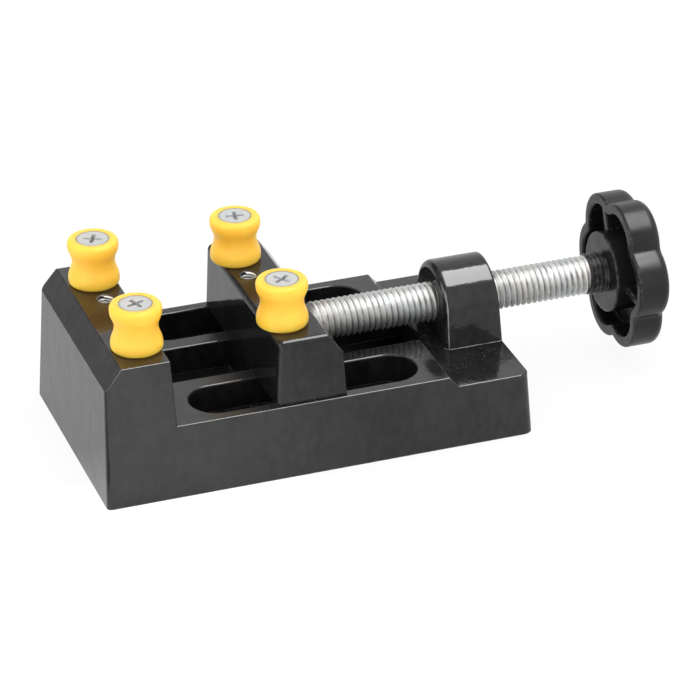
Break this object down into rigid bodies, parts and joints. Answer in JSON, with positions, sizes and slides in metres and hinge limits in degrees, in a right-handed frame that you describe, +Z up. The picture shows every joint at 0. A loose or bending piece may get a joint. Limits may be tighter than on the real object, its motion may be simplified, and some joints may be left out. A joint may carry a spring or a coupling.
{
  "type": "mini table vise",
  "caption": "Small table vise with a black cast base, a jaw slid by a lead screw with a star knob, and yellow waisted clamping pegs screwed on the jaws.",
  "frame": {"origin": "bottom centre of the whole vise as pictured: on the plane that the base stands on, under the middle of the length from the fixed jaw's end to the knob's back", "axes": "+X along the lead screw from the fixed jaw to the knob, +Y to the back of the picture, +Z up"},
  "size_m": [0.1498, 0.0618, 0.0472],
  "materials": {
    "casting_paint": "gloss black",
    "knob_plastic": "semi-gloss black",
    "peg_plastic": "semi-gloss amber yellow",
    "zinc": "zinc plated"
  },
  "bodies": {
    "frame": {"base": "casting_paint", "peg_fixed_front": "peg_plastic", "peg_fixed_rear": "peg_plastic", "peg_screw_fixed_front": "zinc", "peg_screw_fixed_rear": "zinc"},
    "jaw": {"moving_jaw": "casting_paint", "peg_moving_front": "peg_plastic", "peg_moving_rear": "peg_plastic", "peg_screw_moving_front": "zinc", "peg_screw_moving_rear": "zinc", "keeper_plate": "zinc", "keeper_screw_front": "zinc", "keeper_screw_rear": "zinc", "keeper_washer_front": "zinc", "keeper_washer_rear": "zinc", "retaining_screw": "zinc"},
    "screw": {"lead_screw": "zinc", "star_knob": "knob_plastic"}
  },
  "joints": [
    {"name": "jaw_slide", "type": "slide", "parent": "frame", "child": "jaw", "axis": [1, 0, 0], "range_m": [-0.0235, 0.0308]},
    {"name": "screw_turn", "type": "hinge", "parent": "jaw", "child": "screw", "pos_m": [0, 0, 0.0241], "axis": [1, 0, 0], "range_deg": [-5641, 7394]}
  ],
  "couplings": [
    {"joint": "screw_turn", "follows": "jaw_slide", "rad_per_m": 4188.8}
  ]
}
